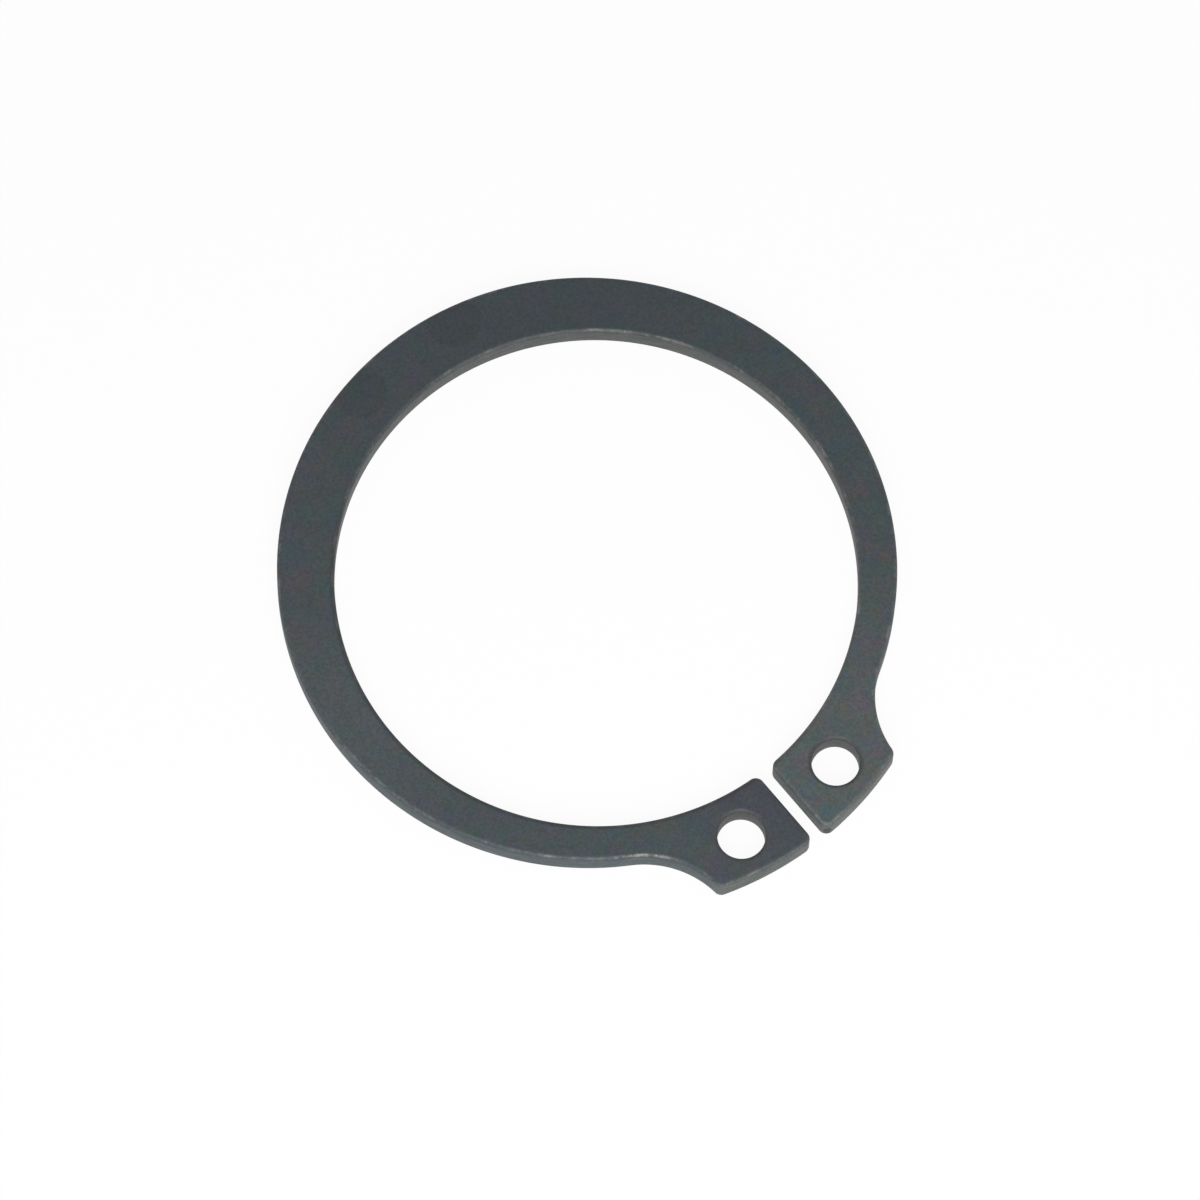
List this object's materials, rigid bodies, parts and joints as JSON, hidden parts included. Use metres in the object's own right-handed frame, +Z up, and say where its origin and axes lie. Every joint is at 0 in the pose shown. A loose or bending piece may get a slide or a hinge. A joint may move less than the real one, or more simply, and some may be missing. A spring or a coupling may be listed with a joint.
{
  "type": "external retaining ring",
  "caption": "Flat open spring steel ring that snaps into a groove round a shaft, its band tapering towards lugs that carry plier holes on either side of a narrow gap.",
  "frame": {"origin": "on the shaft's axis, the centre of the inner circle, in the plane of the lower face that the ring lies on", "axes": "+Z up along the shaft's axis, -Y towards the gap between the lugs, +X across the ring"},
  "size_m": [0.035, 0.038, 0.0015],
  "materials": {
    "ring": "matte"
  },
  "bodies": {
    "root": {"ring": "ring"}
  },
  "joints": []
}
